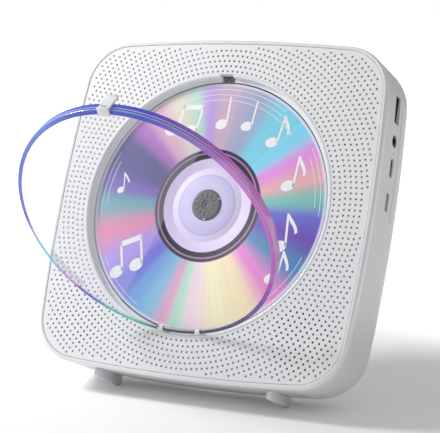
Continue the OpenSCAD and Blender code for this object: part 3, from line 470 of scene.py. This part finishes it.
def make_disc_face():
    material, tree, skin = new_finish("disc_face")
    turn, radius, _ = turn_and_radius(tree, in_well)
    # The fan of colours by angle is a painted sheen in the base colour.
    fan = add_node(tree, "ValToRGB", {0: turn})
    fan.color_ramp.interpolation = "EASE"
    fill_ramp(fan.color_ramp, [(angle / 360, linear(*colour)) for angle, *colour in PAINTED_SHEEN]
              + [(1, linear(*PAINTED_SHEEN[0][1:]))])
    beam = add_node(tree, "CombineXYZ", {0: turn, 1: 0.0, 2: 0.0})
    beams = add_node(tree, "TexNoise", {"Vector": beam.outputs[0], "Scale": 90.0, "Detail": 3.0})
    streak = add_node(tree, "MapRange", {"Value": beams.outputs["Fac"], "To Min": 0.84,
                                         "To Max": 1.12})
    sheen = add_node(tree, "VectorMath", {0: fan.outputs["Color"], "Scale": streak.outputs[0]},
                     operation="SCALE")
    share = add_node(tree, "Math", {0: radius, 1: 1 / 60}, operation="MULTIPLY")
    rings = add_node(tree, "ValToRGB", {0: share.outputs[0]})
    fill_ramp(rings.color_ramp, [(r / 60, linear(red, green, blue)[:3] + (cover,))
                                 for r, red, green, blue, cover in RINGS_OF_DISC])
    face = add_node(tree, "Mix", {"Factor": rings.outputs["Alpha"]}, data_type="RGBA")
    tree.links.new(sheen.outputs[0], face.inputs[6])
    tree.links.new(rings.outputs["Color"], face.inputs[7])
    tree.links.new(face.outputs[2], skin.inputs["Base Color"])
    skin.inputs["Roughness"].default_value = 0.5
    skin.inputs["Specular IOR Level"].default_value = 0.3
    return material


finish_piece("disc_pressing", in_well, make_disc_face(), "disc", "disc_face", "disc")

# ---- print on the disc -----------------------------------------------------------------------
# White ink on the disc's face: plain musical notes round the middle and thin stave arcs
# between them, a few hundredths of a millimetre thick.
INK_T = 0.04
ink = moulded("white_ink", linear(250, 250, 253), 0.35, depth=0.05, mottle=0.01)
STAVE_ARCS = (                        # radius, and the angles from and to, clockwise from the top
    (57.0, -40, 34), (54.4, -36, 40), (51.8, -30, 46), (57.0, 58, 92), (54.4, 62, 88),
    (56.4, 112, 138), (56.6, -98, -66), (54.0, -92, -70), (56.8, -152, -120))
NOTES = (                             # kind, angle, radius, height and tilt
    ("pair", -26, 46, 18, 8), ("single", 2, 45.5, 16, 0), ("single", 19, 47, 15, 6),
    ("flagged", 39, 48, 16, 10), ("flagged", 67, 45, 17, 4), ("flagged", 104, 43, 18, -4),
    ("flagged", 123, 49, 16, 8), ("flagged", -80, 48, 10, -8), ("pair", -126, 47, 19, -14))
HEAD_LONG = 0.2
HEAD_TALL = 0.15
STEM = 0.062
HEAD_LEAN = 0.4
BEAM_RISE = 0.1
BEAM_T = 0.14
PAIR_HALF = 0.28
STAVE_W = 0.22


def ink_shape(outlines):
    """Flat closed outlines, extruded to the thickness of the ink."""
    made = []
    for points in outlines:
        made.append(plate_of("ink", points, DISC_TOP, DISC_TOP + INK_T))
    bpy.ops.object.select_all(action="DESELECT")
    for piece in made:
        piece.select_set(True)
    bpy.context.view_layer.objects.active = made[0]
    bpy.ops.object.join()


def note_outlines(kind, size):
    """A note's outlines about the middle of its height, in millimetres."""
    def head(x, y):
        return [(x + size * (HEAD_LONG * cos(t) * cos(HEAD_LEAN) - HEAD_TALL * sin(t) * sin(HEAD_LEAN)),
                 y + size * (HEAD_LONG * cos(t) * sin(HEAD_LEAN) + HEAD_TALL * sin(t) * cos(HEAD_LEAN)))
                for t in (2 * pi * i / 24 for i in range(24))]

    def stem(x, low, high):
        return [(x - STEM * size, low), (x, low), (x, high), (x - STEM * size, high)]

    low = -0.36 * size
    high = 0.5 * size
    reach = (HEAD_LONG * 0.97) * size
    if kind == "pair":
        left = -PAIR_HALF * size
        right = PAIR_HALF * size
        rise = BEAM_RISE * size
        beam_t = BEAM_T * size
        return [head(left, low), head(right, low + rise), stem(left + reach, low, high - rise),
                stem(right + reach, low + rise, high),
                [(left + reach - STEM * size, high - rise - beam_t), (right + reach, high - beam_t),
                 (right + reach, high), (left + reach - STEM * size, high - rise)]]
    shapes = [head(-0.1 * size, low), stem(-0.1 * size + reach, low, high)]
    if kind == "flagged":
        x = -0.1 * size + reach
        outer = [(x + size * 0.26 * sin(t * pi / 2) ** 1.2, high - size * 0.5 * t)
                 for t in (i / 10 for i in range(11))]
        inner = [(x + size * (0.2 * sin(t * pi / 2) ** 1.2 - 0.01), high - size * (0.14 + 0.4 * t))
                 for t in (i / 10 for i in range(10, -1, -1))]
        shapes.append(outer[::-1] + [(x, high)] + inner[::-1])
    return shapes


for i, (kind, angle, radius, size, tilt) in enumerate(NOTES):
    spin = radians(-tilt)
    x = radius * sin(radians(angle))
    y = radius * cos(radians(angle))
    ink_shape([[(x + u * cos(spin) - v * sin(spin), y + u * sin(spin) + v * cos(spin))
                for u, v in points] for points in note_outlines(kind, size)])
    finish_piece(f"note_{i + 1}", in_well, ink, "disc", "disc_face")
for i, (radius, start, end) in enumerate(STAVE_ARCS):
    steps = max(6, round((end - start) / 3))
    turns = [radians(start + (end - start) * k / steps) for k in range(steps + 1)]
    outer = radius + STAVE_W / 2
    inner = radius - STAVE_W / 2
    ink_shape([[(outer * sin(t), outer * cos(t)) for t in turns[::-1]]
               + [(inner * sin(t), inner * cos(t)) for t in turns]])
    finish_piece(f"stave_arc_{i + 1}", in_well, ink, "disc", "disc_face")

# ---- turntable hub ---------------------------------------------------------------------------
# A grey moulded boss that the disc snaps onto. Its crown is ribbed, with a small dimple over
# the shaft.
GROOVES = 12
GROOVE_SIZE = (2.6, 0.5, 0.4, 1)
GROOVE_SPOT = (4.5, 0, -2.6)
hub_grey = moulded("hub_grey", linear(112, 112, 114), 0.6, grain=1500.0, depth=0.7, mottle=0.25)
turned("hub", rounded([
    (0.9, -10.4, 0), (3.4, -10.4, 0), (3.4, -7.2, 0), (13.4, -7.2, 0.3), (13.4, -5.2, 0.2),
    (7.4, -5.2, 0), (7.4, -3.6, 0.3), (6.5, -2.6, 0.35), (2.4, -2.6, 0.2), (2.0, -3.1, 0),
    (0.9, -3.1, 0)]), steps=96)
hub = bpy.context.object
for i in range(GROOVES):
    bpy.ops.mesh.primitive_cube_add(size=1)
    groove = bpy.context.object
    groove.data.transform(Matrix.Rotation(2 * pi * i / GROOVES, 4, "Z")
                          @ Matrix.Translation(GROOVE_SPOT) @ Matrix.Diagonal(GROOVE_SIZE))
    cut(hub, groove)
finish_piece("hub", in_well, hub_grey, "turntable", "grey_hub", "turntable_hub")

# ---- clear cap -------------------------------------------------------------------------------
# A clear acrylic cap on a hinge at the foot of the well, moulded with a flat face and a low
# skirt. The blue, violet and pink that a thin film throws round the rim are a painted sheen, with
# painted highlight lines and dark edge lines along the skirt, and one side of the face carries a
# faint painted reflection.
CAP_R = 61.7
CAP_T = 1.4
CAP_TOP = 2.2
SKIRT_LOW = -2.6
HINGE_Y = -60.4
HINGE_Z = 1.0
ROD_R = 1.25
ROD_LONG = 15.2
LUG_X = 9.6
LUG_ROOM = (3.2, 4, 8)
RELIEF_Y = -40                        # below this the cap has no skirt, so that it can swing
RELIEF_DEEP = 30
CAP_OPEN = 53

turned("cap", rounded([
    (0.02, CAP_TOP - CAP_T, 0), (CAP_R - CAP_T, CAP_TOP - CAP_T, 0.6),
    (CAP_R - CAP_T, SKIRT_LOW, 0.3), (CAP_R, SKIRT_LOW, 0.3), (CAP_R, CAP_TOP, 0.7),
    (0.02, CAP_TOP, 0)], steps=4), steps=200)
cap = bpy.context.object
cut_box(cap, (0, RELIEF_Y - RELIEF_DEEP / 2, (SKIRT_LOW + CAP_TOP - CAP_T) / 2 - 1),
        (2 * CAP_R + 4, RELIEF_DEEP, CAP_TOP - CAP_T - SKIRT_LOW + 2))
bpy.ops.mesh.primitive_cylinder_add(
    vertices=32, radius=ROD_R, depth=ROD_LONG, location=(0, HINGE_Y, HINGE_Z),
    rotation=(0, pi / 2, 0))
cut(cap, bpy.context.object, "UNION")
for side in (-1, 1):
    cut_box(cap, (side * LUG_X, HINGE_Y - 0.2, 0), LUG_ROOM)

cap_frame = in_well @ Matrix.Translation((0, HINGE_Y, HINGE_Z)) \
    @ Matrix.Rotation(radians(CAP_OPEN), 4, "X") @ Matrix.Translation((0, -HINGE_Y, -HINGE_Z))
# Painted sheen round the cap's rim: the colours a thin film would throw, painted by angle.
PAINTED_RIM_SHEEN = (                         # degrees clockwise from the top, colour and cover there
    (0, 52, 66, 206, 0.97), (18, 74, 78, 222, 0.97), (36, 150, 100, 226, 0.95),
    (54, 226, 118, 228, 0.92), (80, 240, 124, 222, 0.92), (106, 214, 96, 208, 0.92),
    (130, 116, 76, 190, 0.92), (150, 82, 66, 126, 0.9), (172, 62, 58, 80, 0.9),
    (190, 46, 84, 76, 0.9), (203, 96, 206, 190, 0.92), (215, 66, 178, 190, 0.92),
    (221, 60, 96, 212, 0.95), (229, 84, 84, 214, 0.95), (234, 226, 136, 222, 0.95),
    (240, 196, 150, 232, 0.92), (246, 96, 214, 224, 0.92), (256, 96, 196, 222, 0.9),
    (262, 214, 156, 226, 0.9), (270, 70, 84, 206, 0.92), (300, 70, 92, 216, 0.92),
    (326, 78, 124, 230, 0.94), (346, 52, 66, 206, 0.97))
# Painted highlight lines and dark edge lines along the skirt, painted by height.
PAINTED_RIM_LINES = (                         # height up the skirt, colour, and how much it hides the rest
    (0.0, 210, 226, 255, 0.35), (0.06, 120, 110, 230, 0.0), (0.46, 120, 110, 230, 0.0),
    (0.5, 70, 40, 110, 0.6), (0.55, 250, 238, 255, 0.75), (0.62, 244, 214, 246, 0.5),
    (0.68, 90, 60, 150, 0.2), (0.8, 120, 110, 230, 0.0), (0.86, 196, 246, 244, 0.8),
    (0.93, 150, 236, 232, 0.4), (1.0, 120, 110, 230, 0.0))
WALL_R = 60.8                         # the film's edge on the skirt, and how far it laps the face
FACE_LAP = 1.4
LAP_FROM = 0.6                        # heights between which the film turns onto the face
LAP_TO = 0.9
# A faint painted reflection: one side of the cap's face, past a straight edge, is paler.
PAINTED_REFLECTION_SIDE = (-0.805, 0.593, 0)        # towards the paler part of the cap's face
PAINTED_REFLECTION_EDGE = -6.5
CLEAR_COVER = 0.02
PAINTED_REFLECTION_COVER = 0.12
INSIDE_COVER = 0.3                    # how much of the film shows from inside the cap


def make_clear_cap():
    material, tree, skin = new_finish("clear_cap")
    turn, radius, flat = turn_and_radius(tree, cap_frame)
    # The rim's colours are a painted sheen by angle, overlaid by painted highlight and dark lines by height.
    rim = add_node(tree, "ValToRGB", {0: turn})
    fill_ramp(rim.color_ramp, [(angle / 360, linear(*colour)[:3] + (cover,))
                               for angle, *colour, cover in PAINTED_RIM_SHEEN]
              + [(1, linear(*PAINTED_RIM_SHEEN[0][1:4])[:3] + (PAINTED_RIM_SHEEN[0][4],))])
    height = add_node(tree, "MapRange", {"Value": flat.outputs["Z"], "From Min": SKIRT_LOW,
                                         "From Max": CAP_TOP})
    lines = add_node(tree, "ValToRGB", {0: height.outputs[0]})
    fill_ramp(lines.color_ramp, [(up, linear(*colour)[:3] + (cover,))
                                 for up, *colour, cover in PAINTED_RIM_LINES])
    tint = add_node(tree, "Mix", {"Factor": lines.outputs["Alpha"]}, data_type="RGBA")
    tree.links.new(rim.outputs["Color"], tint.inputs[6])
    tree.links.new(lines.outputs["Color"], tint.inputs[7])
    lap = add_node(tree, "MapRange", {"Value": flat.outputs["Z"], "From Min": LAP_FROM,
                                      "From Max": LAP_TO, "To Min": 0.0, "To Max": FACE_LAP})
    reach = add_node(tree, "Math", {0: radius, 1: lap.outputs[0]}, operation="ADD")
    wall = add_node(tree, "MapRange", {"Value": reach.outputs[0], "From Min": WALL_R,
                                       "From Max": WALL_R + 0.2})
    colour = add_node(tree, "Mix", {"Factor": wall.outputs[0]}, data_type="RGBA")
    colour.inputs[6].default_value = linear(240, 238, 252)
    tree.links.new(tint.outputs[2], colour.inputs[7])
    # The painted reflection: a paler cover on one side of a straight line across the face.
    spot = add_node(tree, "CombineXYZ", {0: flat.outputs["X"], 1: flat.outputs["Y"]})
    side = add_node(tree, "VectorMath", {0: spot.outputs[0], 1: PAINTED_REFLECTION_SIDE},
                    operation="DOT_PRODUCT")
    painted_reflection = add_node(tree, "MapRange", {"Value": side.outputs["Value"], "From Min": PAINTED_REFLECTION_EDGE,
                                       "From Max": PAINTED_REFLECTION_EDGE + 0.5, "To Min": CLEAR_COVER,
                                       "To Max": PAINTED_REFLECTION_COVER})
    back = add_node(tree, "NewGeometry")
    thin = add_node(tree, "MapRange", {"Value": back.outputs["Backfacing"], "To Min": 1.0,
                                       "To Max": INSIDE_COVER})
    cover = add_node(tree, "Math", {0: rim.outputs["Alpha"], 1: thin.outputs[0]},
                     operation="MULTIPLY")
    alpha = add_node(tree, "Mix", {"Factor": wall.outputs[0]}, data_type="FLOAT")
    tree.links.new(painted_reflection.outputs[0], alpha.inputs[2])
    tree.links.new(cover.outputs[0], alpha.inputs[3])
    tree.links.new(colour.outputs[2], skin.inputs["Base Color"])
    tree.links.new(alpha.outputs[0], skin.inputs["Alpha"])
    skin.inputs["Roughness"].default_value = 0.1
    skin.inputs["IOR"].default_value = 1.49
    return material


finish_piece("cap", cap_frame, make_clear_cap(), "lid", "clear_cap", "lid")
recast("lid_latch", "cap_latch", white_rim, edge=0.2)

# ---- sockets, switch and keys ----------------------------------------------------------------
# Nickel plated sockets and a black jack sit a little behind their holes in the shell, and the
# keys and the switch knob are satin grey mouldings with eased edges.
key_grey = moulded("key_grey", linear(206, 209, 214), 0.4, coat=0.1)
for key in ("back", "play", "next", "softer", "louder"):
    recast("button_" + key, "key_" + key, key_grey, edge=0.2)
recast("switch_knob", "power_knob", moulded("knob_grey", linear(150, 153, 158), 0.45), edge=0.1)

# ---- everything else the frame holds ---------------------------------------------------------
# Deck, speakers, boards, sockets and screws keep the frame's shape and get the finish of what
# they are made of: plated steel, black and natural plastic, rubber, brass and solder mask.
def metal(name, colour, roughness, scratch=0.08):
    """Plated or turned metal with fine lines of polish."""
    material, tree, skin = new_finish(name)
    place = add_node(tree, "TexCoord").outputs["Object"]
    lines = add_node(tree, "TexNoise", {"Vector": place, "Scale": 900.0, "Detail": 4.0})
    rough = add_node(tree, "MapRange", {"Value": lines.outputs["Fac"], "To Min": roughness - scratch,
                                        "To Max": roughness + scratch})
    shade = add_node(tree, "MapRange", {"Value": lines.outputs["Fac"], "To Min": 0.9,
                                        "To Max": 1.05})
    tone = add_node(tree, "VectorMath", {0: colour[:3], "Scale": shade.outputs[0]},
                    operation="SCALE")
    tree.links.new(tone.outputs[0], skin.inputs["Base Color"])
    tree.links.new(rough.outputs[0], skin.inputs["Roughness"])
    skin.inputs["Metallic"].default_value = 1.0
    return material


finishes = {
    "white_shell": white_shell, "white_panel": white_panel, "white_grille": white_panel,
    "clear_cap": white_rim,
    "bright_steel": metal("bright_steel", linear(205, 206, 210), 0.25),
    "black_plastic": moulded("black_plastic", linear(44, 45, 48), 0.45),
    "black_rubber": moulded("black_rubber", linear(38, 38, 39), 0.75, depth=0.4),
    "grey_rubber": moulded("grey_rubber", linear(158, 160, 163), 0.7, depth=0.5),
    "motor_can": metal("motor_can", linear(176, 178, 184), 0.38),
    "grey_hub": hub_grey, "disc_face": white_panel,
    "lens_glass": moulded("lens_glass", linear(120, 170, 220), 0.08, depth=0.0, coat=1.0),
    "natural_plastic": moulded("natural_plastic", linear(232, 229, 216), 0.5),
    "brass_pinion": metal("brass_pinion", linear(206, 176, 96), 0.3),
    "black_cone": moulded("black_cone", linear(30, 30, 32), 0.8, grain=700.0, depth=0.8),
    "green_board": moulded("green_board", linear(30, 104, 62), 0.35, coat=0.3),
    "battery_wrap": moulded("battery_wrap", linear(66, 116, 176), 0.3, coat=0.3),
    "socket_metal": metal("socket_metal", linear(150, 152, 158), 0.35),
    "light_pipe": moulded("light_pipe", linear(226, 228, 234), 0.15, depth=0.0, coat=0.6),
    "grey_keys": key_grey,
}
for part in frame["record"]["subparts"]:
    shown = frame["nodes"][part["node"]]
    shown.data.materials.clear()
    shown.data.materials.append(finishes[part["material_slot"]])

# ---- floor, light and background --------------------------------------------------------------
# A pale floor that brightens to pure white away from the player, so that no horizon shows, one
# soft lamp on the left at the height of an arm's reach, and an even white sky.
FLOOR_SIZE = 12
FLOOR_GLOW = 0.05
WHITE_FROM = 0.13                     # metres from the middle, where the floor begins to whiten
WHITE_TO = 0.3
KEY_SPOT = (-0.47, -0.15, 0.46)
KEY_AIM = (0, 0, 0.06)
KEY_SIZE = 0.16
KEY_POWER = 2.9
SKY_LEVEL = 0.45
bpy.ops.mesh.primitive_plane_add(size=FLOOR_SIZE, location=(0, 0, 0))
floor = bpy.context.object
floor.name = "floor"
floor_paint, tree, skin = new_finish("floor_paint")
skin.inputs["Base Color"].default_value = (0.96, 0.96, 0.96, 1)
skin.inputs["Roughness"].default_value = 0.9
skin.inputs["Specular IOR Level"].default_value = 0.0
place = add_node(tree, "TexCoord")
reach = add_node(tree, "VectorMath", {0: place.outputs["Object"]}, operation="LENGTH")
white = add_node(tree, "MapRange", {"Value": reach.outputs["Value"], "From Min": WHITE_FROM,
                                    "From Max": WHITE_TO, "To Min": FLOOR_GLOW, "To Max": 1.0},
                 interpolation_type="SMOOTHSTEP")
rays = add_node(tree, "LightPath")
seen = add_node(tree, "Math", {0: rays.outputs["Is Camera Ray"], 1: rays.outputs["Is Glossy Ray"]},
                operation="MAXIMUM")
seen = add_node(tree, "Math", {0: seen.outputs[0], 1: rays.outputs["Is Transmission Ray"]},
                operation="MAXIMUM")
glow = add_node(tree, "Math", {0: seen.outputs[0], 1: white.outputs[0]}, operation="MULTIPLY")
skin.inputs["Emission Color"].default_value = (1, 1, 1, 1)
tree.links.new(glow.outputs[0], skin.inputs["Emission Strength"])
floor.data.materials.append(floor_paint)

bpy.ops.object.light_add(type="AREA", location=KEY_SPOT)
lamp = bpy.context.object
lamp.name = "key_lamp"
lamp.data.size = KEY_SIZE
lamp.data.energy = KEY_POWER
lamp.rotation_euler = (Vector(KEY_AIM) - Vector(KEY_SPOT)).to_track_quat("-Z", "Y").to_euler()

world = bpy.data.worlds.new("white_sky")
bpy.context.scene.world = world
world.use_nodes = True
tree = world.node_tree
rays = add_node(tree, "LightPath")
sky = tree.nodes["Background"]
sky.inputs["Color"].default_value = (1, 1, 1, 1)
level = add_node(tree, "MapRange", {"Value": rays.outputs["Is Camera Ray"], "To Min": SKY_LEVEL,
                                    "To Max": 1.0})
tree.links.new(level.outputs[0], sky.inputs["Strength"])
bpy.context.scene.view_settings.view_transform = "Standard"
